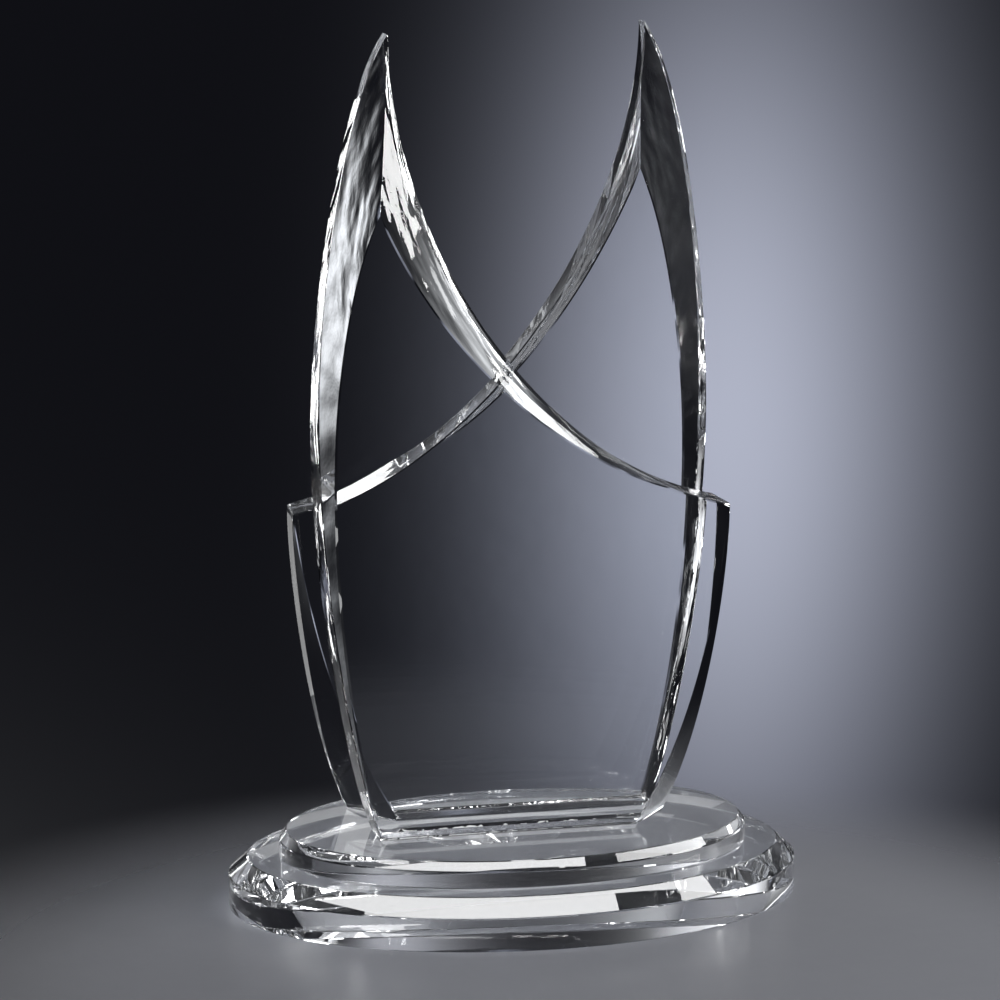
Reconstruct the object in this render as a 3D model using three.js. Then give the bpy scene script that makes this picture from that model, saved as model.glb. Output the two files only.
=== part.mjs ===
// Clear crystal award: an oval base of two bevelled tiers carrying two upright horn-shaped plates.
// The plates stand one behind the other, mirrored, so that their swept top edges cross in the front view.
// Millimetres, +Z up, origin in the middle of the base's underside, +X along the plates, -Y the front.
import * as THREE from 'three';

// Height of the whole award, from the underside to the two peaks
const OVERALL_HEIGHT = 286.75;

// Lower tier of the base: an oval disc with an upright side and a bevelled top edge
const LOWER_WIDTH = 190;
const LOWER_DEPTH = 134;
const LOWER_SIDE = 11;
const LOWER_BEVEL_IN = 6.25;
const LOWER_BEVEL_UP = 5.5;
const UNDERSIDE_ARRIS = 0.5;

// Upper tier of the base
const UPPER_WIDTH = 156.6;
const UPPER_DEPTH = 103.6;
const UPPER_SIDE = 5.55;
const UPPER_BEVEL_IN = 2.2;
const UPPER_BEVEL_UP = 2.95;

// Cured adhesive films that hold the pieces together
const TIER_FILM = 0.125;
const PLATE_FILM = 0.125;
const FILM_MARGIN = 0.5;

// Stance of the two plates on the base
const PLATE_THICKNESS = 16.5;
const PLATE_GAP = 12;
const PAIR_SETBACK = 5.75;

// Plate outline, front view: reach is the distance from the plate's centre line, height is above its foot
const BASE_HEIGHT = LOWER_SIDE + LOWER_BEVEL_UP + TIER_FILM + UPPER_SIDE + UPPER_BEVEL_UP;
const PEAK_HEIGHT = OVERALL_HEIGHT - BASE_HEIGHT - PLATE_FILM;
const BULGE_HEIGHT = 133;
const LONG_FOOT_REACH = 48.3;
const SHORT_FOOT_REACH = 50.4;

// Outline and facet sizes that differ between the two hand-cut plates; the ridge runs from the peak down to
// the facets' inner apex, and the swept facet ends at a share of the way along the swept edge
const FRONT_HORN = {
  peakReach: 42.8,
  bulgeReach: 67.6,
  tipReach: 68.8,
  tipHeight: 106.3,
  ridgeLength: 56.4,
  ridgeLean: 4.9,
  sweptFacetEnd: 0.88,
};
const REAR_HORN = {
  peakReach: 46.6,
  bulgeReach: 68.7,
  tipReach: 71.1,
  tipHeight: 103.7,
  ridgeLength: 49.6,
  ridgeLean: 1.8,
  sweptFacetEnd: 0.8,
};

// How far each end of an outline curve holds its direction, and which way it leaves, across then up
const LONG_FOOT_PULL = new THREE.Vector2(-8.2, 22);
const BULGE_PULL_DOWN = 53;
const BULGE_PULL_UP = 36;
const LONG_PEAK_PULL = new THREE.Vector2(-15.6, -21.4);
const SWEEP_PEAK_PULL = new THREE.Vector2(-0.2, -71.5);
const SWEEP_TIP_PULL = new THREE.Vector2(-57.2, 11);
const SHORT_TIP_PULL = new THREE.Vector2(0.6, -12.5);
const SHORT_FOOT_PULL = new THREE.Vector2(14.7, 30.9);
const SHORT_FACET_TIP_PULL = new THREE.Vector2(-2, -10.8);
const SHORT_FACET_FOOT_PULL = new THREE.Vector2(26.4, 41.3);

// Horn facets: ground on the outer face of each plate, deep at the peak and fading towards foot and tip.
// Past its end the swept facet leaves only a narrow arris.
const LONG_FACET_AT_BULGE = 5.2;
const LONG_FACET_AT_FOOT = 0.8;
const LONG_FACET_LEAN = 0.045;
const FACET_BULGE_PULL_UP = 30;
const FACET_APEX_PULL = new THREE.Vector2(-7.5, -14);
const SWEPT_FACET_APEX_PULL = new THREE.Vector2(23.5, -55);
const SWEPT_FACET_END_PULL = new THREE.Vector2(-26.4, 7.7);
const FACET_DEPTH_AT_PEAK = 10;
const FACET_DEPTH_AT_BULGE = 3.2;
const FACET_DEPTH_AT_ENDS = 0.6;
const SWEPT_DEPTH_FALL = 0.42;
const SWEPT_RUN_OUT_POWER = 8;
const SWEPT_ARRIS = 0.35;

// Short-side facet, ground on the front face of both plates: its ridge sinks from the tip's front corner to
// the back of the foot, as a power of the fall, and leaves a narrowing land behind it. The land slants inwards
// a little at the tip, by a share of the swept edge's length.
const TIP_SLANT = 0.009;
const SHORT_FACET_AT_FOOT = 13.3;
const SHORT_LAND_AT_FOOT = 1;
const SHORT_RIDGE_POWER = 1.75;
const SHORT_FACET_FOOT_REACH = SHORT_FOOT_REACH - SHORT_FACET_AT_FOOT;
const SHORT_RIDGE_AT_FOOT = PLATE_THICKNESS - SHORT_LAND_AT_FOOT;

// Steps along the curves
const OVAL_STEPS = 120;
const LONG_LOWER_STEPS = 22;
const LONG_UPPER_STEPS = 28;
const SWEEP_STEPS = 40;
const SHORT_STEPS = 24;

// Heights of the stack, held as 32-bit numbers so that bonded faces meet exactly
const lowerTop = Math.fround(LOWER_SIDE + LOWER_BEVEL_UP);
const tierFilm = Math.fround(TIER_FILM);
const upperHeight = Math.fround(UPPER_SIDE + UPPER_BEVEL_UP);
const plateFilm = Math.fround(PLATE_FILM);
const upperFoot = lowerTop + tierFilm;
const upperTop = upperFoot + upperHeight;
const plateFoot = upperTop + plateFilm;

// Front faces of the two plates
const frontPlateFace = PAIR_SETBACK - PLATE_THICKNESS - PLATE_GAP / 2;
const rearPlateFace = PAIR_SETBACK + PLATE_GAP / 2;

// A finish of the clear pieces, with its own tint
function clearFinish(color, roughness, opacity) {
  return new THREE.MeshStandardMaterial({ color, roughness, metalness: 0, transparent: true, opacity });
}

// A named mesh
function piece(name, geometry, material) {
  const mesh = new THREE.Mesh(geometry, material);
  mesh.name = name;
  return mesh;
}

// Six times the volume inside a triangle list, negative where the faces point inwards
function signedVolume(points, triangles) {
  let sum = 0;
  for (const [a, b, c] of triangles) {
    sum += points[a].dot(new THREE.Vector3().crossVectors(points[b], points[c]));
  }
  return sum;
}

// A closed solid skinned over rings of equally many points, its first and last ring filled as flat faces.
// The named pair of axes spans the plane of those two faces.
function skinnedSolid(rings, across, along) {
  const count = rings[0].length;
  const points = rings.flat();
  const triangles = [];
  for (let ring = 0; ring + 1 < rings.length; ring += 1) {
    for (let i = 0; i < count; i += 1) {
      const next = (i + 1) % count;
      const a = ring * count + i;
      const b = ring * count + next;
      const c = a + count;
      const d = b + count;
      triangles.push([a, b, d], [a, d, c]);
    }
  }
  const flat = (ring) => ring.map((p) => new THREE.Vector2(p[across], p[along]));
  const turn = Math.sign(THREE.ShapeUtils.area(flat(rings[0])));
  const last = (rings.length - 1) * count;
  for (const [a, b, c] of THREE.ShapeUtils.triangulateShape(flat(rings[0]), [])) {
    triangles.push(turn > 0 ? [a, c, b] : [a, b, c]);
  }
  for (const [a, b, c] of THREE.ShapeUtils.triangulateShape(flat(rings[rings.length - 1]), [])) {
    triangles.push(turn > 0 ? [last + a, last + b, last + c] : [last + a, last + c, last + b]);
  }
  const facing = signedVolume(points, triangles) > 0 ? triangles : triangles.map(([a, b, c]) => [a, c, b]);
  const geometry = new THREE.BufferGeometry().setFromPoints(points);
  geometry.setIndex(facing.flat());
  geometry.computeVertexNormals();
  return geometry;
}

// One level of an oval tier, drawn in from the full width and depth
function ovalRing(width, depth, inset, height) {
  const outline = new THREE.EllipseCurve(0, 0, width / 2 - inset, depth / 2 - inset);
  return outline.getPoints(OVAL_STEPS).slice(0, OVAL_STEPS).map((p) => new THREE.Vector3(p.x, p.y, height));
}

function lowerTier() {
  return skinnedSolid([
    ovalRing(LOWER_WIDTH, LOWER_DEPTH, UNDERSIDE_ARRIS, 0),
    ovalRing(LOWER_WIDTH, LOWER_DEPTH, 0, UNDERSIDE_ARRIS),
    ovalRing(LOWER_WIDTH, LOWER_DEPTH, 0, LOWER_SIDE),
    ovalRing(LOWER_WIDTH, LOWER_DEPTH, LOWER_BEVEL_IN, lowerTop),
  ], 'x', 'y');
}

function upperTier() {
  return skinnedSolid([
    ovalRing(UPPER_WIDTH, UPPER_DEPTH, 0, 0),
    ovalRing(UPPER_WIDTH, UPPER_DEPTH, 0, UPPER_SIDE),
    ovalRing(UPPER_WIDTH, UPPER_DEPTH, UPPER_BEVEL_IN, upperHeight),
  ], 'x', 'y');
}

// The film between the tiers stops short of the upper tier's edge
function tierBond() {
  return skinnedSolid([
    ovalRing(UPPER_WIDTH, UPPER_DEPTH, FILM_MARGIN, 0),
    ovalRing(UPPER_WIDTH, UPPER_DEPTH, FILM_MARGIN, tierFilm),
  ], 'x', 'y');
}

// A curve that leaves its start along one pull and arrives at its end against the other
function pulledCurve(start, startPull, endPull, end) {
  return new THREE.CubicBezierCurve(start, start.clone().add(startPull), end.clone().add(endPull), end);
}

// A point on a plate's swept edge, drawn into the plate by the arris
function besideSweep(sweep, share) {
  const way = sweep.getTangent(share);
  return sweep.getPoint(share).add(new THREE.Vector2(way.y, -way.x).multiplyScalar(SWEPT_ARRIS));
}

// Curves of one plate's outline and of its facets' inner border, for a peak on the left
function hornCurves(horn) {
  const longFoot = new THREE.Vector2(-LONG_FOOT_REACH, 0);
  const bulge = new THREE.Vector2(-horn.bulgeReach, BULGE_HEIGHT);
  const peak = new THREE.Vector2(-horn.peakReach, PEAK_HEIGHT);
  const tip = new THREE.Vector2(horn.tipReach, horn.tipHeight);
  const facetFoot = new THREE.Vector2(-LONG_FOOT_REACH + LONG_FACET_AT_FOOT, 0);
  const facetBulge = new THREE.Vector2(-horn.bulgeReach + LONG_FACET_AT_BULGE, BULGE_HEIGHT);
  const innerApex = new THREE.Vector2(-horn.peakReach - horn.ridgeLean, PEAK_HEIGHT - horn.ridgeLength);
  const lean = new THREE.Vector2(LONG_FACET_LEAN, 1);
  const sweep = pulledCurve(peak, SWEEP_PEAK_PULL, SWEEP_TIP_PULL, tip);
  const sweptEnd = besideSweep(sweep, horn.sweptFacetEnd);
  return {
    lower: pulledCurve(longFoot, LONG_FOOT_PULL, new THREE.Vector2(0, -BULGE_PULL_DOWN), bulge),
    upper: pulledCurve(bulge, new THREE.Vector2(0, BULGE_PULL_UP), LONG_PEAK_PULL, peak),
    sweep,
    facetLower: pulledCurve(
      facetFoot,
      LONG_FOOT_PULL,
      lean.clone().multiplyScalar(-BULGE_PULL_DOWN),
      facetBulge,
    ),
    facetUpper: pulledCurve(
      facetBulge,
      lean.clone().multiplyScalar(FACET_BULGE_PULL_UP),
      FACET_APEX_PULL,
      innerApex,
    ),
    facetSweep: pulledCurve(innerApex, SWEPT_FACET_APEX_PULL, SWEPT_FACET_END_PULL, sweptEnd),
  };
}

// Equal shares of a curve, without its start
function shares(count) {
  return Array.from({ length: count }, (_, i) => (i + 1) / count);
}

// Points from the long foot up to the peak and down the swept edge, which stops at the given share
function outlineBorder(curves, sweepStop) {
  return [
    ...curves.lower.getPoints(LONG_LOWER_STEPS),
    ...curves.upper.getPoints(LONG_UPPER_STEPS).slice(1),
    ...shares(SWEEP_STEPS).map((share) => curves.sweep.getPoint(share * sweepStop)),
  ];
}

// The same points on the facets' inner border, which follows the swept edge past the swept facet's end
function facetBorder(curves, horn, sweepStop) {
  const swept = (share) => (share < horn.sweptFacetEnd
    ? curves.facetSweep.getPoint(share / horn.sweptFacetEnd)
    : besideSweep(curves.sweep, share * sweepStop));
  return [
    ...curves.facetLower.getPoints(LONG_LOWER_STEPS),
    ...curves.facetUpper.getPoints(LONG_UPPER_STEPS).slice(1),
    ...shares(SWEEP_STEPS).map(swept),
  ];
}

// Depth of the facets at the outline: rising from foot to bulge to peak as a square and a sine, then falling
// evenly along the swept edge and running out in a round end
function facetDepths(horn) {
  const long = [0, ...shares(LONG_LOWER_STEPS)].map(
    (share) => THREE.MathUtils.lerp(FACET_DEPTH_AT_ENDS, FACET_DEPTH_AT_BULGE, share ** 2),
  );
  const high = shares(LONG_UPPER_STEPS).map(
    (share) => THREE.MathUtils.lerp(FACET_DEPTH_AT_BULGE, FACET_DEPTH_AT_PEAK, Math.sin(share * Math.PI / 2)),
  );
  const swept = shares(SWEEP_STEPS).map((share) => {
    const way = Math.min(share / horn.sweptFacetEnd, 1);
    const runOut = Math.sqrt(1 - way ** SWEPT_RUN_OUT_POWER);
    return Math.max(FACET_DEPTH_AT_PEAK * (1 - SWEPT_DEPTH_FALL * way) * runOut, FACET_DEPTH_AT_ENDS);
  });
  return [...long, ...high, ...swept];
}

// A line down the short side, from the swept edge's end to the foot
function shortLine(start, tipPull, footPull, footReach) {
  const foot = new THREE.Vector2(footReach, 0);
  return pulledCurve(start, tipPull, footPull, foot).getPoints(SHORT_STEPS).slice(1);
}

// Depth of the short facet's ridge behind the front face, at a share of the tip's height
function ridgeDepth(heightShare) {
  const fall = (1 - heightShare) ** SHORT_RIDGE_POWER;
  return THREE.MathUtils.lerp(FACET_DEPTH_AT_ENDS, SHORT_RIDGE_AT_FOOT, fall);
}

// A horn plate whose horn facets are ground on its front face or on its back face.
// Its rings run from the front face to the back face; side is 1 for a peak on the left, -1 on the right.
function hornPlate(horn, side, facetsOnFront) {
  const at = (p, y) => new THREE.Vector3(side * p.x, y, p.y);
  const curves = hornCurves(horn);
  const depths = facetDepths(horn);
  const backStop = 1 - TIP_SLANT;
  const front = facetsOnFront ? facetBorder(curves, horn, 1) : outlineBorder(curves, 1);
  const back = facetsOnFront ? outlineBorder(curves, backStop) : facetBorder(curves, horn, backStop);
  const middle = outlineBorder(curves, facetsOnFront ? 1 : backStop);
  const tip = curves.sweep.getPoint(1);
  const backTip = curves.sweep.getPoint(backStop);
  const shortFront = shortLine(tip, SHORT_FACET_TIP_PULL, SHORT_FACET_FOOT_PULL, SHORT_FACET_FOOT_REACH);
  const shortSide = shortLine(tip, SHORT_TIP_PULL, SHORT_FOOT_PULL, SHORT_FOOT_REACH);
  const shortBack = shortLine(backTip, SHORT_TIP_PULL, SHORT_FOOT_PULL, SHORT_FOOT_REACH);
  const shortRidge = shortSide.map((p, i) => {
    const depth = ridgeDepth(p.y / horn.tipHeight);
    return at(p.clone().lerp(shortBack[i], depth / PLATE_THICKNESS), depth);
  });
  const middleDepth = (depth) => (facetsOnFront ? depth : PLATE_THICKNESS - depth);
  return skinnedSolid([
    [...front, ...shortFront].map((p) => at(p, 0)),
    [...middle.map((p, i) => at(p, middleDepth(depths[i]))), ...shortRidge],
    [...back, ...shortBack].map((p) => at(p, PLATE_THICKNESS)),
  ], 'x', 'z');
}

// The film under a plate follows the plate's foot and stops short of its edges
function plateBond(side) {
  const longEdge = -LONG_FOOT_REACH + LONG_FACET_AT_FOOT + FILM_MARGIN;
  const slant = (y) => SHORT_FACET_AT_FOOT * Math.min(y / SHORT_RIDGE_AT_FOOT, 1);
  const shortEdge = (y) => SHORT_FACET_FOOT_REACH + slant(y) - 2 * FILM_MARGIN;
  const low = FILM_MARGIN;
  const high = PLATE_THICKNESS - FILM_MARGIN;
  const corners = [[longEdge, low], [shortEdge(low), low], [shortEdge(high), high], [longEdge, high]];
  const level = (z) => corners.map(([x, y]) => new THREE.Vector3(side * x, y, z));
  return skinnedSolid([level(0), level(plateFilm)], 'x', 'y');
}

// The base with its two tiers and the film between them
const base = new THREE.Group();
const upperTierMesh = piece('base_upper_tier', upperTier(), clearFinish(0xe6eef4, 0.03, 0.35));
const tierBondMesh = piece('tier_bond', tierBond(), clearFinish(0xf4f8fa, 0.1, 0.15));
tierBondMesh.position.z = lowerTop;
upperTierMesh.position.z = upperFoot;
base.add(
  piece('base_lower_tier', lowerTier(), clearFinish(0xe2ebf2, 0.03, 0.35)),
  tierBondMesh,
  upperTierMesh,
);

// A plate on its film, with its front face at the given depth
function standingPlate(name, horn, side, facetsOnFront, frontFace) {
  const stand = new THREE.Group();
  stand.position.set(0, frontFace, upperTop);
  const plate = piece(name, hornPlate(horn, side, facetsOnFront), clearFinish(0xe9f0f5, 0.02, 0.35));
  plate.position.z = plateFilm;
  stand.add(plate, piece(`${name}_bond`, plateBond(side), clearFinish(0xf4f8fa, 0.1, 0.15)));
  return stand;
}

const award = new THREE.Group();
award.add(
  base,
  standingPlate('front_plate', FRONT_HORN, 1, true, frontPlateFace),
  standingPlate('rear_plate', REAR_HORN, -1, false, rearPlateFace),
);

export default award;
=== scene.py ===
"""Looks of a clear crystal award: an oval base in two bevelled tiers under two mirrored horn plates.

Metres throughout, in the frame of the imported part: +Z up, the origin under the middle of the base,
+X to the right along the plates and -Y towards the viewer.
"""

import logging
import math
from dataclasses import dataclass, field
from enum import Enum
from typing import Any

import bpy
import numpy as np
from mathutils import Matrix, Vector


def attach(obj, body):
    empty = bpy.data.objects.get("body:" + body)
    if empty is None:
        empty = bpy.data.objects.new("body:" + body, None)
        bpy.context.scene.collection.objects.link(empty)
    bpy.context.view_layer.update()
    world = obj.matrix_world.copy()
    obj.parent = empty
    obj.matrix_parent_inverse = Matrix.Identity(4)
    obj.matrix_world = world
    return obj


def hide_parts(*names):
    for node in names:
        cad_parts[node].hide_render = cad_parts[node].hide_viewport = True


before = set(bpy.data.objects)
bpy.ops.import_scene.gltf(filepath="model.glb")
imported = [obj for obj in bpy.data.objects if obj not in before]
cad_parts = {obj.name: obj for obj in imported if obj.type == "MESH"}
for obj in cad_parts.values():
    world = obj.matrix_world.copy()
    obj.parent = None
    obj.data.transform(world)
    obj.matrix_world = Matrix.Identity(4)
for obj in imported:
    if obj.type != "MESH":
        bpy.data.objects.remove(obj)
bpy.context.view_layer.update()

log = logging.getLogger("award")

Colour = tuple[float, float, float]
Point = tuple[float, float, float]
Corner = tuple[float, float]
BODY = "root"
SHARP_ANGLE = math.radians(9.0)
GRAIN_STRETCH = 1.7
GRAIN_SPREAD = 130
RULED_SHARES = (0.35, 0.65)
LARGEST_NIP = 0.3
RIM_LEVEL = 5


class Facing(Enum):
    """Which face of a plate carries its horn facets."""

    FRONT = 1
    BACK = -1


class Skin(Enum):
    """Material slots of a crystal piece: polished glass, or a face that is optically bonded."""

    POLISHED = 0
    BONDED = 1


class Wire:
    """A value in a node tree; arithmetic on it adds Math nodes."""

    def __init__(self, sheet: "NodeSheet", socket: bpy.types.NodeSocket) -> None:
        """Keeps the sheet and the output socket."""
        self.sheet = sheet
        self.socket = socket

    def maths(self, operation: str, *values: "Wire | float") -> "Wire":
        """Adds one Math node.

        Args:
            operation: the Math node's operation.
            values: its inputs in order, wires or numbers.

        Returns:
            The node's result.
        """
        return self.sheet.add("ShaderNodeMath", {"operation": operation}, dict(enumerate(values)))

    def __add__(self, other: "Wire | float") -> "Wire":
        """Sum."""
        return self.maths("ADD", self, other)

    def __rsub__(self, other: "Wire | float") -> "Wire":
        """Difference from a number."""
        return self.maths("SUBTRACT", other, self)

    def __mul__(self, other: "Wire | float") -> "Wire":
        """Product."""
        return self.maths("MULTIPLY", self, other)

    def __truediv__(self, other: "Wire | float") -> "Wire":
        """Quotient."""
        return self.maths("DIVIDE", self, other)

    def ramp(self, low: float, high: float) -> "Wire":
        """A smooth rise from 0 at low to 1 at high."""
        settings = {"interpolation_type": "SMOOTHSTEP", "clamp": True}
        inputs = {"Value": self, "From Min": low, "From Max": high}
        return self.sheet.add("ShaderNodeMapRange", settings, inputs)


class NodeSheet:
    """A node tree that is drawn by code."""

    def __init__(self, tree: bpy.types.NodeTree) -> None:
        """Empties the tree."""
        self.tree = tree
        tree.nodes.clear()

    def add(
        self,
        kind: str,
        settings: dict[str, Any] | None = None,
        inputs: dict[str | int, Any] | None = None,
        output: str | int = 0,
    ) -> Wire:
        """Adds a node.

        Args:
            kind: the node's type.
            settings: its properties, set before its sockets.
            inputs: a number, colour or wire for each input socket, by name or place.
            output: the output socket to hand on.

        Returns:
            The chosen output as a wire.
        """
        node = self.tree.nodes.new(kind)
        for name, value in (settings or {}).items():
            setattr(node, name, value)
        for name, value in (inputs or {}).items():
            if isinstance(value, Wire):
                self.tree.links.new(value.socket, node.inputs[name])
            else:
                node.inputs[name].default_value = value
        return Wire(self, node.outputs[output] if node.outputs else None)

    def surface(self, shader: Wire) -> None:
        """Links a shader to the tree's output."""
        kind = "World" if isinstance(self.tree.id_data, bpy.types.World) else "Material"
        self.add(f"ShaderNodeOutput{kind}", inputs={"Surface": shader})

    def object_point(self) -> Wire:
        """The surface point in the piece's own coordinates."""
        return self.add("ShaderNodeTexCoord", output="Object")

    def noise(self, point: Wire, scale: float, detail: float = 3.0, roughness: float = 0.5) -> Wire:
        """Fractal noise about 0.5 at a number of features per metre."""
        inputs = {"Vector": point, "Scale": scale, "Detail": detail, "Roughness": roughness}
        return self.add("ShaderNodeTexNoise", inputs=inputs)

    def blend(self, share: Wire, first: Colour, second: Colour) -> Wire:
        """A mix of two colours."""
        inputs = {"Factor": share, 6: (*first, 1.0), 7: (*second, 1.0)}
        return self.add("ShaderNodeMix", {"data_type": "RGBA"}, inputs, output=2)


def new_material(name: str) -> tuple[bpy.types.Material, NodeSheet]:
    """Makes an empty node material.

    Args:
        name: the material's name.

    Returns:
        The material and its node sheet.
    """
    material = bpy.data.materials.new(name)
    material.use_nodes = True
    return material, NodeSheet(material.node_tree)


@dataclass(frozen=True)
class CrystalFinish:
    """Polished colourless crystal: clear, faintly cool, slightly wavy as hand polishing leaves it."""

    name: str
    tint: Colour = (0.985, 0.993, 1.0)
    haze_tint: Colour = (0.955, 0.972, 0.985)
    index: float = 1.52
    polish: float = 0.0
    smear: float = 0.02
    smear_scale: float = 38.0
    smear_start: float = 0.52
    smear_full: float = 0.78
    wave_scale: float = 55.0
    wave_height: float = 0.00001
    facet_scale: float = 52.0
    facet_detail: float = 0.9
    facet_height: float = 0.0009
    streak_scale: float = 210.0
    streak_height: float = 0.00006
    shadow_clear: float = 0.8

    def material(self) -> bpy.types.Material:
        """Draws the glass: haze patches vary tint and roughness, ground faces carry swells and streaks.

        Returns:
            The finished material.
        """
        material, sheet = new_material(self.name)
        point = sheet.object_point()
        smears = sheet.noise(point, self.smear_scale, 4.0, 0.62).ramp(self.smear_start, self.smear_full)
        waves = sheet.noise(point, self.wave_scale, 2.0)
        grain = sheet.add("ShaderNodeAttribute", {"attribute_name": "grain"}, output="Vector")
        swells = sheet.noise(grain, self.facet_scale, self.facet_detail)
        streaks = sheet.noise(grain, self.streak_scale, 2.0)
        ground = sheet.add("ShaderNodeAttribute", {"attribute_name": "ground"}, output="Fac")
        grinding = swells * self.facet_height + streaks * self.streak_height
        height = waves * self.wave_height + grinding * ground
        normal = sheet.add("ShaderNodeBump", inputs={"Height": height, "Strength": 1.0, "Distance": 1.0})
        glass = sheet.add(
            "ShaderNodeBsdfPrincipled",
            inputs={
                "Base Color": sheet.blend(smears, self.tint, self.haze_tint),
                "Roughness": smears * self.smear + self.polish,
                "IOR": self.index,
                "Transmission Weight": 1.0,
                "Normal": normal,
            },
        )
        clear = sheet.add("ShaderNodeBsdfTransparent", inputs={"Color": (*self.tint, 1.0)})
        shadow = sheet.add("ShaderNodeLightPath", output="Is Shadow Ray")
        inputs = {0: shadow * self.shadow_clear, 1: glass, 2: clear}
        sheet.surface(sheet.add("ShaderNodeMixShader", inputs=inputs))
        return material


@dataclass(frozen=True)
class BondedFinish:
    """A face wetted by adhesive of the crystal's own index, so light crosses it unbent."""

    name: str = "bonded_face"

    def material(self) -> bpy.types.Material:
        """Draws a face that light crosses unbent.

        Returns:
            The finished material.
        """
        material, sheet = new_material(self.name)
        sheet.surface(sheet.add("ShaderNodeBsdfTransparent"))
        return material


@dataclass(frozen=True)
class AdhesiveFinish:
    """Cured clear adhesive: all but invisible, with a few tiny trapped bubbles."""

    name: str = "cured_adhesive"
    colour: Colour = (0.93, 0.95, 0.97)
    body: float = 0.012
    roughness: float = 0.1
    mottle: float = 0.2
    mottle_scale: float = 300.0
    bubble: float = 0.4
    bubble_scale: float = 70.0
    bubble_radius: float = 0.05
    rim_inside: float = 0.6
    rim_outside: float = 1.5
    rarity: tuple[float, float] = (0.93, 0.95)

    def material(self) -> bpy.types.Material:
        """Draws the film: bubbles are rings where cells of a random pattern are chosen at random.

        Returns:
            The finished material.
        """
        material, sheet = new_material(self.name)
        point = sheet.object_point()
        cells = {"Vector": point, "Scale": self.bubble_scale}
        distance = sheet.add("ShaderNodeTexVoronoi", inputs=cells, output="Distance")
        chosen = sheet.add("ShaderNodeTexVoronoi", inputs=cells, output="Color")
        rim = distance.ramp(self.bubble_radius * self.rim_inside, self.bubble_radius)
        ring = rim * (1.0 - distance.ramp(self.bubble_radius, self.bubble_radius * self.rim_outside))
        rare = sheet.add("ShaderNodeSeparateColor", inputs={0: chosen}).ramp(*self.rarity)
        alpha = ring * rare * self.bubble + self.body
        shader = sheet.add(
            "ShaderNodeBsdfPrincipled",
            inputs={
                "Base Color": (*self.colour, 1.0),
                "Roughness": sheet.noise(point, self.mottle_scale) * self.mottle + self.roughness,
                "Alpha": alpha,
            },
        )
        sheet.surface(shader)
        return material


@dataclass(frozen=True)
class FloorFinish:
    """Plain pale satin table top that fades into the backdrop."""

    name: str = "pale_table_top"
    colour: Colour = (0.185, 0.19, 0.212)
    fleck: Colour = (0.165, 0.17, 0.192)
    roughness: float = 0.32
    mottle: float = 0.1
    mottle_scale: float = 26.0
    centre: Point = (0.0, -0.10, 0.0)
    fade_start: float = 0.13
    fade_end: float = 0.26

    def material(self) -> bpy.types.Material:
        """Draws the table: a faint mottling, and clear beyond a round soft edge.

        Returns:
            The finished material.
        """
        material, sheet = new_material(self.name)
        point = sheet.object_point()
        flecks = sheet.noise(point, self.mottle_scale, 5.0, 0.6)
        satin = sheet.add(
            "ShaderNodeBsdfPrincipled",
            inputs={
                "Base Color": sheet.blend(flecks, self.colour, self.fleck),
                "Roughness": flecks * self.mottle + self.roughness,
            },
        )
        clear = sheet.add("ShaderNodeBsdfTransparent")
        inputs = {0: point, 1: self.centre}
        radius = sheet.add("ShaderNodeVectorMath", {"operation": "DISTANCE"}, inputs, output="Value")
        fade = radius.ramp(self.fade_start, self.fade_end)
        sheet.surface(sheet.add("ShaderNodeMixShader", inputs={0: fade, 1: satin, 2: clear}))
        return material


def bezier(corners: np.ndarray, share: np.ndarray) -> tuple[np.ndarray, np.ndarray]:
    """Points and normals of a cubic curve, its four control points weighted by the Bernstein cubics.

    Args:
        corners: four control points, (4, 2).
        share: places along the curve from 0 to 1, (n,).

    Returns:
        The points and the unit normals on the right of the way along, both (n, 2).
    """
    t = share[:, None]
    r = 1.0 - t
    points = r**3 * corners[0] + 3 * r**2 * t * corners[1] + 3 * r * t**2 * corners[2] + t**3 * corners[3]
    legs = np.diff(corners, axis=0)
    way = r**2 * legs[0] + 2 * r * t * legs[1] + t**2 * legs[2]
    normals = np.stack([way[:, 1], -way[:, 0]], axis=1)
    return points, normals / np.linalg.norm(normals, axis=1, keepdims=True)


def pulled(start: Any, start_pull: Any, end_pull: Any, end: Any) -> np.ndarray:
    """Control points of a curve that leaves its start along one pull and meets its end against the other."""
    start, end = np.array(start), np.array(end)
    return np.stack([start, start + np.array(start_pull), end + np.array(end_pull), end])


def grid_faces(rings: int, count: int) -> np.ndarray:
    """Quads between neighbouring rings of a closed grid, (rings - 1, count, 4)."""
    index = np.arange(rings * count).reshape(rings, count)
    right = np.roll(index, -1, axis=1)
    return np.stack([index[:-1], right[:-1], right[1:], index[1:]], axis=-1)


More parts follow.
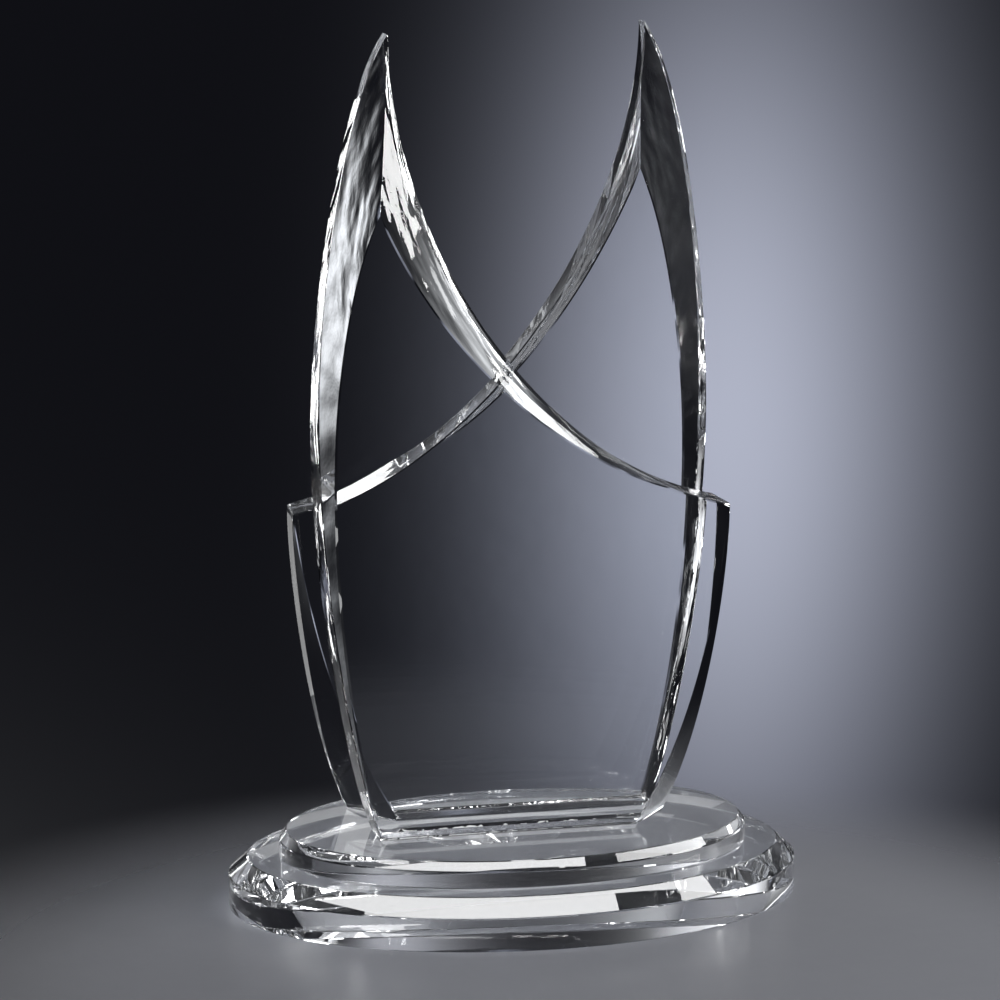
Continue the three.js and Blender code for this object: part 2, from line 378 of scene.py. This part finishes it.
@dataclass
class CrystalPiece:
    """A closed crystal body, made of a skin of quads and flat polygons."""

    name: str
    points: np.ndarray
    faces: list[list[int]]
    skins: list[int]
    ground: np.ndarray
    grain: np.ndarray

    def outward(self) -> list[list[int]]:
        """The faces, all reversed if they enclose a negative volume.

        Returns:
            Faces that point outwards.
        """
        fans = np.array([(f[0], f[i], f[i + 1]) for f in self.faces for i in range(1, len(f) - 1)])
        a, b, c = (self.points[fans[:, i]] for i in range(3))
        volume = np.einsum("ij,ij->i", a, np.cross(b, c)).sum()
        log.info("%s encloses %.1f cm3", self.name, abs(volume) / 6.0 * 1e6)
        return self.faces if volume > 0 else [f[::-1] for f in self.faces]

    def build(self, materials: list[bpy.types.Material], nodes: list[str], slot: str) -> bpy.types.Object:
        """Puts the body into the scene in place of its solids.

        Args:
            materials: one per skin.
            nodes: names of the solids that it stands for.
            slot: not used.

        Returns:
            The finished object.
        """
        mesh = bpy.data.meshes.new(self.name)
        mesh.from_pydata(self.points.tolist(), [], self.outward())
        mesh.polygons.foreach_set("material_index", np.array(self.skins, np.int32))
        attribute = mesh.attributes.new("ground", "FLOAT", "POINT")
        attribute.data.foreach_set("value", self.ground.astype(np.float32))
        attribute = mesh.attributes.new("grain", "FLOAT_VECTOR", "POINT")
        attribute.data.foreach_set("vector", self.grain.astype(np.float32).ravel())
        for material in materials:
            mesh.materials.append(material)
        mesh.validate()
        mesh.set_sharp_from_angle(angle=SHARP_ANGLE)
        mesh.polygons.foreach_set("use_smooth", np.array([len(f) == 4 for f in self.faces]))
        mesh.update()
        piece = bpy.data.objects.new(self.name, mesh)
        bpy.context.scene.collection.objects.link(piece)
        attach(piece, BODY)
        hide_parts(*nodes)
        log.info("%s: %d faces", self.name, len(self.faces))
        return piece


@dataclass
class HornPlate:
    """An upright plate with a tall swept horn at one side and a low tip at the other.

    Corners are (across, height) for a peak on the left, from the middle of the foot.
    """

    name: str
    side: int
    facing: Facing
    front_face: float
    peak: Corner
    bulge: Corner
    tip: Corner
    inner_apex: Corner
    facet_end: float
    grinding: float = 1.0
    foot: float = 0.02525
    thickness: float = 0.0165
    long_foot: Corner = (-0.0483, 0.0)
    short_back_foot: Corner = (0.0504, 0.0)
    short_front_foot: Corner = (0.0371, 0.0)
    inner_foot: Corner = (-0.0475, 0.0)
    facet_at_bulge: float = 0.0052
    facet_lean: float = 0.045
    long_foot_pull: Corner = (-0.0082, 0.022)
    bulge_drop: float = 0.053
    bulge_rise: float = 0.036
    facet_rise: float = 0.030
    apex_pull: Corner = (-0.0075, -0.014)
    swept_apex_pull: Corner = (0.0235, -0.055)
    swept_end_pull: Corner = (-0.0264, 0.0077)
    peak_pull: Corner = (-0.0156, -0.0214)
    sweep_pull: Corner = (-0.0002, -0.0715)
    tip_pull: Corner = (-0.0572, 0.011)
    short_pull: Corner = (0.0006, -0.0125)
    short_foot_pull: Corner = (0.0147, 0.0309)
    front_pull: Corner = (-0.002, -0.0108)
    front_foot_pull: Corner = (0.0264, 0.0413)
    short_power: float = 1.75
    foot_land: float = 0.001
    land_ground: float = 0.6
    short_ground: float = 0.2
    swept_ground: float = 0.5
    short_arris: float = 0.0002
    depth_at_peak: float = 0.010
    depth_at_bulge: float = 0.0032
    depth_at_ends: float = 0.0006
    depth_fall: float = 0.42
    run_out: int = 8
    swept_arris: float = 0.00035
    tip_slant: float = 0.009
    arris: float = 0.00042
    corner_arris: float = 0.00035
    foot_arris: float = 0.00102
    taper: float = 0.006
    arris_at_peak: float = 0.12
    steps: tuple[int, int, int, int] = (44, 56, 110, 56)

    def shares(self) -> list[np.ndarray]:
        """Places along the four border curves, stopping just short of the peak and the tip.

        Returns:
            One rising array per curve: long side below and above the bulge, swept edge, short side.
        """
        low, high, sweep, short = self.steps
        pulls = (self.peak_pull, self.sweep_pull, self.tip_pull, self.short_pull)
        nips = [self.corner_arris / (3.0 * math.hypot(*pull)) for pull in pulls]
        return [
            np.linspace(0.0, 1.0, low),
            np.linspace(0.0, 1.0 - nips[0], high + 1)[1:],
            np.linspace(nips[1], 1.0 - nips[2], sweep),
            np.linspace(nips[3], 1.0, short),
        ]

    def stops(self) -> tuple[float, float]:
        """Shares at which the swept edge ends on the faceted face and on the plain face."""
        ends = (1.0, 1.0 - self.tip_slant)
        return ends if self.facing is Facing.FRONT else ends[::-1]

    def sweep(self) -> np.ndarray:
        """Control points of the swept edge."""
        return pulled(self.peak, self.sweep_pull, self.tip_pull, self.tip)

    def outline(self, stop: float) -> tuple[np.ndarray, np.ndarray]:
        """Points and inward normals of the outline from the long foot to the tip.

        Args:
            stop: share of the swept edge at which it ends.

        Returns:
            Points and normals, both (n, 2).
        """
        low, high, sweep, _ = self.shares()
        parts = [
            bezier(pulled(self.long_foot, self.long_foot_pull, (0.0, -self.bulge_drop), self.bulge), low),
            bezier(pulled(self.bulge, (0.0, self.bulge_rise), self.peak_pull, self.peak), high),
            bezier(self.sweep(), sweep * stop),
        ]
        points, normals = (np.concatenate(kind) for kind in zip(*parts))
        return points, normals

    def facet_border(self, stop: float) -> tuple[np.ndarray, np.ndarray]:
        """The facets' inner border on the face; past the swept facet's end it keeps beside the outline.

        Args:
            stop: share of the swept edge at which it ends.

        Returns:
            Points and inward normals, both (n, 2).
        """
        low, high, sweep, _ = self.shares()
        inner_bulge = (self.bulge[0] + self.facet_at_bulge, self.bulge[1])
        drop = (-self.facet_lean * self.bulge_drop, -self.bulge_drop)
        rise = (self.facet_lean * self.facet_rise, self.facet_rise)
        end, end_in = bezier(self.sweep(), np.array([self.facet_end]))
        inner_end = (end + end_in * self.swept_arris)[0]
        swept = pulled(self.inner_apex, self.swept_apex_pull, self.swept_end_pull, inner_end)
        edge, edge_in = bezier(self.sweep(), sweep * stop)
        cut, cut_in = bezier(swept, np.minimum(sweep / self.facet_end, 1.0))
        cutting = (sweep < self.facet_end)[:, None]
        parts = [
            bezier(pulled(self.inner_foot, self.long_foot_pull, drop, inner_bulge), low),
            bezier(pulled(inner_bulge, rise, self.apex_pull, self.inner_apex), high),
            (np.where(cutting, cut, edge + edge_in * self.swept_arris), np.where(cutting, cut_in, edge_in)),
        ]
        points, normals = (np.concatenate(kind) for kind in zip(*parts))
        return points, normals

    def depths(self) -> np.ndarray:
        """Depth of the facets at the outline.

        It rises to the bulge as a square and to the peak as a sine, then falls evenly along the swept edge
        and runs out in a round end.

        Returns:
            One depth per point of the outline.
        """
        low, high, sweep, _ = self.shares()
        ends, bulge, peak = self.depth_at_ends, self.depth_at_bulge, self.depth_at_peak
        way = np.minimum(sweep / self.facet_end, 1.0)
        swept = peak * (1.0 - self.depth_fall * way) * np.sqrt(1.0 - way**self.run_out)
        return np.concatenate([
            ends + (bulge - ends) * low**2,
            bulge + (peak - bulge) * np.sin(high * np.pi / 2),
            np.maximum(swept, ends),
        ])

    def horn_levels(self) -> list[np.ndarray]:
        """Levels of the long side and the swept edge, from the faceted face to the plain face.

        Each facet is ruled straight from the inner border on the face to the outline at its depth, and each
        edge is cut off by a narrow arris that tapers towards the peak.

        Returns:
            Arrays of (across, depth, height), one per level.
        """
        near_stop, far_stop = self.stops()
        rim_at, _ = self.outline(near_stop)
        far_at, far_in = self.outline(far_stop)
        near_at, near_in = self.facet_border(near_stop)
        depth = self.depths()
        gap = np.minimum(
            np.linalg.norm(rim_at - np.array(self.peak), axis=1),
            np.linalg.norm(near_at - np.array(self.inner_apex), axis=1),
        )
        arris = self.arris * np.clip(gap / self.taper, self.arris_at_peak, 1.0)
        facet = np.sqrt(((rim_at - near_at) ** 2).sum(1) + depth**2)
        nip = np.minimum(arris / facet, LARGEST_NIP)
        log.info("%s: %d points along the horn", self.name, len(rim_at))

        def level(flat: np.ndarray, y: np.ndarray) -> np.ndarray:
            """Joins a flat border and its depths."""
            return np.stack([flat[:, 0], y, flat[:, 1]], axis=1)

        def ruled(share: np.ndarray | float) -> np.ndarray:
            """A level part of the way across the facets."""
            share = np.broadcast_to(share, depth.shape)
            return level(near_at + (rim_at - near_at) * share[:, None], depth * share)

        far = np.full_like(depth, self.thickness)
        return [
            level(near_at + near_in * arris[:, None], np.zeros_like(depth)),
            *(ruled(share) for share in (nip, *RULED_SHARES, 1.0 - nip)),
            level(rim_at, depth + arris),
            level(far_at, far - arris),
            level(far_at + far_in * arris[:, None], far),
        ]

    def short_levels(self) -> list[np.ndarray]:
        """Levels of the short side, from the faceted face to the plain face.

        A facet is ruled straight from the front face's line to a ridge, which sinks as a power of the fall
        from the tip's front corner to the back of the foot. Behind the ridge lies a narrowing land.

        Returns:
            Arrays of (across, depth, height), one per level.
        """
        share = self.shares()[3]
        tips, _ = bezier(self.sweep(), np.array([1.0, 1.0 - self.tip_slant]))
        line = pulled(tips[0], self.front_pull, self.front_foot_pull, self.short_front_foot)
        front_at, front_in = bezier(line, share)
        (side_at, _), (back_at, back_in) = (
            bezier(pulled(tip, self.short_pull, self.short_foot_pull, self.short_back_foot), share)
            for tip in tips
        )
        fall = np.clip(1.0 - side_at[:, 1] / self.tip[1], 0.0, 1.0) ** self.short_power
        depth = self.depth_at_ends + (self.thickness - self.foot_land - self.depth_at_ends) * fall
        back = np.full_like(depth, self.thickness)

        def level(flat: np.ndarray, y: np.ndarray) -> np.ndarray:
            """Joins a flat line and its depths, which count from the faceted face."""
            counted = y if self.facing is Facing.FRONT else back - y
            return np.stack([flat[:, 0], counted, flat[:, 1]], axis=1)

        def land(y: np.ndarray) -> np.ndarray:
            """A level of the land at some depth behind the front face."""
            return level(side_at + (back_at - side_at) * (y / self.thickness)[:, None], y)

        ridge = side_at + (back_at - side_at) * (depth / self.thickness)[:, None]
        facet = np.sqrt(((ridge - front_at) ** 2).sum(1) + depth**2)
        nip = np.minimum(self.short_arris / facet, LARGEST_NIP)

        def ruled(share: np.ndarray | float) -> np.ndarray:
            """A level part of the way across the facet."""
            share = np.broadcast_to(share, depth.shape)
            return level(front_at + (ridge - front_at) * share[:, None], depth * share)

        levels = [
            level(front_at + front_in * self.short_arris, np.zeros_like(depth)),
            *(ruled(part) for part in (nip, *RULED_SHARES, 1.0 - nip)),
            land(depth + self.short_arris),
            land(back - self.short_arris),
            level(back_at + back_in * self.short_arris, back),
        ]
        return levels if self.facing is Facing.FRONT else levels[::-1]

    def foot_edge(self, depth: np.ndarray) -> np.ndarray:
        """Reach of the short side's foot at depths behind the front face."""
        reach = (self.short_front_foot[0], self.short_back_foot[0])
        return np.interp(depth, (0.0, self.thickness - self.foot_land), reach)

    def rings(self) -> np.ndarray:
        """The plate's closed rings in the frame, the foot's edges cut by an arris, (levels, points, 3)."""
        rings = np.array([np.vstack(pair) for pair in zip(self.horn_levels(), self.short_levels())])
        rings[-2, 0, 1] = self.thickness - self.foot_arris
        rings[:, -1, 1] = rings[:, 0, 1]
        depth = rings[..., 1] if self.facing is Facing.FRONT else self.thickness - rings[..., 1]
        rings[:, -1, 0] = self.foot_edge(depth[:, -1])
        edge = np.minimum(depth[:, 0], self.thickness - depth[:, 0])
        rings[:, [0, -1], 2] = np.maximum(0.0, self.foot_arris - edge)[:, None]
        across, height = self.side * rings[..., 0], self.foot + rings[..., 2]
        return np.stack([across, self.front_face + depth, height], axis=-1)

    def build(self, materials: list[bpy.types.Material]) -> bpy.types.Object:
        """Skins the rings, closes both faces and marks the glued foot.

        Args:
            materials: polished and bonded crystal.

        Returns:
            The plate.
        """
        rings = self.rings()
        levels, count, _ = rings.shape
        quads = grid_faces(levels, count)
        skins = np.full(quads.shape[:2], Skin.POLISHED.value)
        skins[RIM_LEVEL, -1] = Skin.BONDED.value
        faces = quads.reshape(-1, 4).tolist()
        faces += [list(range(count))[::-1], list(range((levels - 1) * count, levels * count))]
        land = self.land_ground
        weights = np.array([0.0, 1.0, 1.0, 1.0, 1.0, land, land, 0.0]) * self.grinding
        ground = np.repeat(weights[:, None], count, axis=1)
        ground[:, sum(self.steps[:2]):-self.steps[3]] *= self.swept_ground
        ground[:, -self.steps[3]:] = weights[::self.facing.value, None] * self.short_ground
        rim = rings[RIM_LEVEL]
        along = np.linalg.norm(np.diff(rim, axis=0, prepend=rim[:1]), axis=-1).cumsum()
        over = np.linalg.norm(np.diff(rings, axis=0, prepend=rings[:1]), axis=-1).cumsum(axis=0)
        offset = np.full_like(over, self.front_face * GRAIN_SPREAD)
        grain = np.stack([np.broadcast_to(along, over.shape), over * GRAIN_STRETCH, offset], axis=-1)
        piece = CrystalPiece(
            self.name,
            rings.reshape(-1, 3),
            faces,
            [*skins.ravel().tolist(), Skin.POLISHED.value, Skin.POLISHED.value],
            ground.ravel(),
            grain.reshape(-1, 3),
        )
        return piece.build(materials, [self.name.removesuffix("_crystal")], "plate_crystal")

    def footprint(self) -> np.ndarray:
        """Corners of the glued foot, counter-clockwise from the front left, (4, 2)."""
        depths = np.array([self.foot_arris, self.thickness - self.foot_arris])
        front, back = self.front_face + depths
        long_x = self.side * self.long_foot[0]
        short = self.side * self.foot_edge(depths)
        at_front, at_back = sorted((long_x, short[0])), sorted((long_x, short[1]))
        return np.array([(at_front[0], front), (at_front[1], front), (at_back[1], back), (at_back[0], back)])


@dataclass
class OvalTier:
    """One tier of the base: an oval disc with an upright side and a bevelled top edge."""

    name: str
    width: float
    depth: float
    bottom: float
    side: float
    bevel_in: float
    bevel_up: float
    bonded_inset: float = 0.0
    arris: float = 0.0003
    around: int = 288

    def angles(self, cuts: np.ndarray) -> np.ndarray:
        """Even angles round the oval, joined by those where the top face crosses given depths."""
        even = np.arange(self.around) * 2 * np.pi / self.around
        reach = np.arcsin(cuts / (self.depth / 2 - self.bevel_in - self.arris))
        return np.unique(np.concatenate([even, reach % (2 * np.pi), (np.pi - reach) % (2 * np.pi)]))

    def profile(self) -> np.ndarray:
        """Inset and height of each ring from underside to top, every corner cut by an arris, (n, 2)."""
        top = self.bottom + self.side + self.bevel_up
        lead = self.arris * 4
        corners = np.array([
            (lead, self.bottom),
            (0.0, self.bottom),
            (0.0, self.bottom + self.side),
            (self.bevel_in, top),
            (self.bevel_in + lead, top),
        ])
        way = np.diff(corners, axis=0)
        way = way / np.linalg.norm(way, axis=1, keepdims=True) * self.arris
        cut = np.stack([corners[1:-1] - way[:-1], corners[1:-1] + way[1:]], axis=1)
        return cut.reshape(-1, 2)

    def rings(self, angles: np.ndarray, profile: np.ndarray) -> np.ndarray:
        """Ovals of the profile: semi-axes less the inset, by cosine and sine, (levels, points, 3)."""
        across = (self.width / 2 - profile[:, :1]) * np.cos(angles)
        along = (self.depth / 2 - profile[:, :1]) * np.sin(angles)
        return np.stack([across, along, np.broadcast_to(profile[:, 1:], across.shape)], axis=-1)


@dataclass
class Base:
    """The two tiers, the lower one bonded under the upper, which carries the plates."""

    lower: OvalTier = field(default_factory=lambda: OvalTier(
        "base_lower_tier_crystal",
        width=0.190,
        depth=0.134,
        bottom=0.0,
        side=0.011,
        bevel_in=0.00625,
        bevel_up=0.0055,
    ))
    upper: OvalTier = field(default_factory=lambda: OvalTier(
        "base_upper_tier_crystal",
        width=0.1566,
        depth=0.1036,
        bottom=0.016625,
        side=0.00555,
        bevel_in=0.0022,
        bevel_up=0.00295,
        bonded_inset=0.0005,
    ))
    rim_ground: float = 0.03

    def build_lower(self, materials: list[bpy.types.Material]) -> bpy.types.Object:
        """Skins the lower tier; its top is bonded under the upper tier and polished round it.

        Args:
            materials: polished and bonded crystal.

        Returns:
            The tier.
        """
        tier = self.lower
        angles = tier.angles(np.zeros(0))
        rings = tier.rings(angles, tier.profile())
        joint = np.stack([
            (self.upper.width / 2 - self.upper.bonded_inset) * np.cos(angles),
            (self.upper.depth / 2 - self.upper.bonded_inset) * np.sin(angles),
            np.full_like(angles, rings[-1, 0, 2]),
        ], axis=-1)
        rings = np.concatenate([rings, joint[None]])
        levels, count, _ = rings.shape
        faces = grid_faces(levels, count).reshape(-1, 4).tolist()
        skins = [Skin.POLISHED.value] * len(faces) + [Skin.POLISHED.value, Skin.BONDED.value]
        faces += [list(range(count))[::-1], list(range((levels - 1) * count, levels * count))]
        points = rings.reshape(-1, 3)
        piece = CrystalPiece(tier.name, points, faces, skins, self.ground(levels, count), self.grain(points))
        return piece.build(materials, ["base_lower_tier"], "base_crystal")

    def build_upper(self, materials: list[bpy.types.Material], plates: list[HornPlate]) -> bpy.types.Object:
        """Skins the upper tier; its underside is bonded, and so are the plates' footprints on its top.

        The top face is cut along the front and back lines of both footprints, so that it falls into bands
        whose corners lie on the rim, and each plate's band into a left part, the footprint and a right part.

        Args:
            materials: polished and bonded crystal.
            plates: the plates from front to rear.

        Returns:
            The tier.
        """
        tier = self.upper
        prints = [plate.footprint() for plate in plates]
        cuts = np.array([y for p in prints for y in (p[0, 1], p[2, 1])])
        angles = tier.angles(cuts)
        rings = tier.rings(angles, tier.profile())
        levels, count, _ = rings.shape
        rim = (levels - 1) * count
        top = rings[-1, 0, 2]
        corners = np.vstack(prints)
        points = np.vstack([rings.reshape(-1, 3), np.column_stack([corners, np.full(len(corners), top)])])
        right = [int(np.argmin(np.abs(rings[-1, :, 1] - y) + (rings[-1, :, 0] < 0))) for y in cuts]
        left = [int(np.argmin(np.abs(rings[-1, :, 1] - y) + (rings[-1, :, 0] > 0))) for y in cuts]

        def arc(start: int, end: int) -> list[int]:
            """Rim points counter-clockwise from one to another."""
            return [rim + i % count for i in range(start, end + 1 if end >= start else end + count + 1)]

        first = levels * count
        foot = [[first + 4 * k + i for i in range(4)] for k in range(len(prints))]
        bands = [
            [*arc(left[0], right[0]), foot[0][1], foot[0][0]],
            [*arc(right[0], right[1]), foot[0][2], foot[0][1]],
            [*arc(left[1], left[0]), foot[0][0], foot[0][3]],
            [*arc(right[1], right[2]), *foot[1][1::-1], *arc(left[2], left[1]), *foot[0][:1:-1]],
            [*arc(right[2], right[3]), foot[1][2], foot[1][1]],
            [*arc(left[3], left[2]), foot[1][0], foot[1][3]],
            [*arc(right[3], left[3]), foot[1][3], foot[1][2]],
        ]
        faces = grid_faces(levels, count).reshape(-1, 4).tolist()
        skins = [Skin.POLISHED.value] * (len(faces) + len(bands)) + [Skin.BONDED.value] * (len(foot) + 1)
        faces += bands + foot + [list(range(count))[::-1]]
        ground = np.concatenate([self.ground(levels, count), np.zeros(len(corners))])
        return CrystalPiece(tier.name, points, faces, skins, ground, self.grain(points)).build(
            materials, ["base_upper_tier"], "base_crystal")

    def ground(self, levels: int, count: int) -> np.ndarray:
        """How far each ring shows the ripples of grinding: faintly on the side and the bevel."""
        weight = np.zeros((levels, count))
        weight[1:5] = self.rim_ground
        return weight.ravel()

    @staticmethod
    def grain(points: np.ndarray) -> np.ndarray:
        """Coordinates of the grinding marks, drawn out round the rim."""
        return points * (1.0, 1.0, GRAIN_STRETCH)


@dataclass(frozen=True)
class Glow:
    """A soft patch of light on the backdrop, in degrees: azimuth from +Y towards +X, and elevation."""

    azimuth: float
    elevation: float
    width: float
    height: float
    colour: Colour
    square_fade: float = 0.4

    def share(self, sheet: NodeSheet, way: Wire) -> Wire:
        """A bell curve of the direction, across and up from the middle of the patch.

        Args:
            sheet: the backdrop's nodes.
            way: the direction.

        Returns:
            1 in the middle of the patch, falling to 0.
        """
        turn, lift = math.radians(self.azimuth), math.radians(self.elevation)
        middle = Vector((math.sin(turn) * math.cos(lift), math.cos(turn) * math.cos(lift), math.sin(lift)))
        right = Vector((math.cos(turn), -math.sin(turn), 0.0))

        def along(axis: Vector) -> Wire:
            """How far the direction points along an axis."""
            inputs = {0: way, 1: tuple(axis)}
            return sheet.add("ShaderNodeVectorMath", {"operation": "DOT_PRODUCT"}, inputs, output="Value")

        across = along(right) / math.sin(math.radians(self.width))
        rise = along(right.cross(middle)) / math.sin(math.radians(self.height))
        bell = across.maths("EXPONENT", (across * across + rise * rise) * -0.5)
        return bell * along(middle).ramp(0.0, self.square_fade)


@dataclass(frozen=True)
class SoftBox:
    """A rectangular soft light: where it hangs, its width and height, its watts and the point it faces."""

    name: str
    at: Point
    size: tuple[float, float]
    power: float
    aim: Point = (0.0, 0.0, 0.14)

    def hang(self) -> bpy.types.Object:
        """Puts the light into the scene, out of the camera's own sight."""
        lamp = bpy.data.lights.new(self.name, "AREA")
        lamp.shape = "RECTANGLE"
        lamp.size, lamp.size_y = self.size
        lamp.energy = self.power
        box = bpy.data.objects.new(self.name, lamp)
        box.location = self.at
        box.rotation_euler = (Vector(self.aim) - Vector(self.at)).to_track_quat("-Z", "Y").to_euler()
        box.visible_camera = False
        bpy.context.scene.collection.objects.link(box)
        return box


@dataclass
class Studio:
    """Pale table, plain graded backdrop, soft boxes and the camera."""

    floor_drop: float = 0.0003
    floor_radius: float = 0.5
    floor_hub: float = 0.0005
    floor_rings: int = 24
    floor_points: int = 96
    camera_at: Point = (-0.38650, -1.53193, 0.45845)
    camera_target: Point = (-0.004286, 0.001069, 0.13270)
    focal: float = 178.14
    sensor: float = 36.0
    dark: Colour = (0.005, 0.0052, 0.0072)
    glows: tuple[Glow, ...] = (
        Glow(16.72, -10.72, 1.52, 3.44, (0.43, 0.455, 0.56)),
        Glow(37.5, -15.2, 4.0, 2.6, (1.15, 1.18, 1.23)),
        Glow(-4.0, -26.0, 6.0, 4.5, (0.90, 0.92, 0.95)),
        Glow(-12.0, 14.0, 4.0, 3.0, (0.48, 0.49, 0.54)),
        Glow(36.0, 14.0, 8.0, 4.0, (0.48, 0.49, 0.54)),
        Glow(-126.0, 1.0, 8.0, 6.0, (1.90, 1.92, 1.97)),
        Glow(-30.0, 15.0, 12.0, 5.0, (1.30, 1.32, 1.37)),
    )
    boxes: tuple[SoftBox, ...] = (
        SoftBox("key_box", (1.17, -0.35, 1.09), (0.92, 0.76), 27.0),
        SoftBox("low_key_box", (1.39, -0.52, 0.36), (0.46, 0.28), 7.0),
        SoftBox("rear_top_box", (0.485, 0.925, 0.996), (0.9, 0.85), 2.1, aim=(0.0, 0.05, 0.03)),
        SoftBox("left_strip", (-0.208, 0.58, 0.155), (0.026, 0.26), 0.09),
        SoftBox("low_left_strip", (-0.18, 0.58, -0.05), (0.03, 0.09), 0.036),
        SoftBox("low_rear_strip", (-0.078, 0.58, -0.045), (0.03, 0.11), 0.004),
        SoftBox("land_strip", (-0.06, 1.45, 0.58), (0.16, 0.14), 0.28),
    )
    bounces: int = 40
    glossy_bounces: int = 24
    clear_bounces: int = 48

    def table(self) -> bpy.types.Object:
        """A round table top as a polar grid, radius times cosine and sine."""
        radii = np.linspace(self.floor_hub, self.floor_radius, self.floor_rings)[:, None]
        angles = np.arange(self.floor_points) * 2 * np.pi / self.floor_points
        flat = np.stack([radii * np.cos(angles), radii * np.sin(angles)], axis=-1)
        points = np.concatenate([flat, np.full((*flat.shape[:2], 1), -self.floor_drop)], axis=-1)
        faces = grid_faces(*flat.shape[:2]).reshape(-1, 4).tolist() + [list(range(self.floor_points))]
        mesh = bpy.data.meshes.new("table_top")
        mesh.from_pydata(points.reshape(-1, 3).tolist(), [], faces)
        mesh.materials.append(FloorFinish().material())
        table = bpy.data.objects.new("table_top", mesh)
        bpy.context.scene.collection.objects.link(table)
        return table

    def backdrop(self) -> None:
        """A dark world with a pale pool behind the award and soft patches of light round it."""
        world = bpy.data.worlds.new("backdrop")
        bpy.context.scene.world = world
        world.use_nodes = True
        sheet = NodeSheet(world.node_tree)
        way = sheet.add("ShaderNodeTexCoord", output="Generated")
        colour: Wire | tuple[float, ...] = (*self.dark, 1.0)
        for glow in self.glows:
            inputs = {"Factor": glow.share(sheet, way), 6: colour, 7: (*glow.colour, 1.0)}
            colour = sheet.add("ShaderNodeMix", {"data_type": "RGBA"}, inputs, output=2)
        sheet.surface(sheet.add("ShaderNodeBackground", inputs={"Color": colour, "Strength": 1.0}))

    def lamps(self) -> None:
        """Hangs the soft boxes: a high and a low key at the right, one above and behind, strips behind."""
        for box in self.boxes:
            box.hang()
            log.info("%s hung", box.name)

    def camera(self) -> None:
        """The camera at the photograph's place, level and without shift."""
        data = bpy.data.cameras.new("camera")
        data.lens = self.focal
        data.sensor_width = self.sensor
        camera = bpy.data.objects.new("camera", data)
        camera.location = self.camera_at
        way = Vector(self.camera_target) - Vector(self.camera_at)
        camera.rotation_euler = way.to_track_quat("-Z", "Y").to_euler()
        bpy.context.scene.collection.objects.link(camera)
        bpy.context.scene.camera = camera

    def settings(self) -> None:
        """Plain view transform, and enough bounces for light to cross all the crystal."""
        scene = bpy.context.scene
        scene.view_settings.view_transform = "Standard"
        scene.cycles.max_bounces = self.bounces
        scene.cycles.transmission_bounces = self.bounces
        scene.cycles.glossy_bounces = self.glossy_bounces
        scene.cycles.transparent_max_bounces = self.clear_bounces


def dress_films(nodes: list[str]) -> None:
    """Gives the adhesive films their finish."""
    material = AdhesiveFinish().material()
    for name in nodes:
        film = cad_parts[name]
        film.data.materials.clear()
        film.data.materials.append(material)
        log.info("%s dressed", name)


def main() -> None:
    """Builds the award, its studio and the camera."""
    logging.basicConfig(level=logging.INFO, format="%(message)s")
    bonded = BondedFinish().material()
    plate_skins = [CrystalFinish("plate_crystal").material(), bonded]
    base_skins = [CrystalFinish("base_crystal").material(), bonded]
    plates = [
        HornPlate(
            "front_plate_crystal", side=1, facing=Facing.FRONT, front_face=-0.01675,
            peak=(-0.0428, 0.2615), bulge=(-0.0676, 0.133), tip=(0.0688, 0.1063),
            inner_apex=(-0.0477, 0.2051), facet_end=0.88,
        ),
        HornPlate(
            "rear_plate_crystal", side=-1, facing=Facing.BACK, front_face=0.01175,
            peak=(-0.0466, 0.2615), bulge=(-0.0687, 0.133), tip=(0.0711, 0.1037),
            inner_apex=(-0.0484, 0.2119), facet_end=0.80, grinding=0.6,
        ),
    ]
    base = Base()
    base.build_lower(base_skins)
    base.build_upper(base_skins, plates)
    for plate in plates:
        plate.build(plate_skins)
    dress_films(["tier_bond", "front_plate_bond", "rear_plate_bond"])
    studio = Studio()
    studio.table()
    studio.backdrop()
    studio.lamps()
    studio.camera()
    studio.settings()


if __name__ == "__main__":
    main()
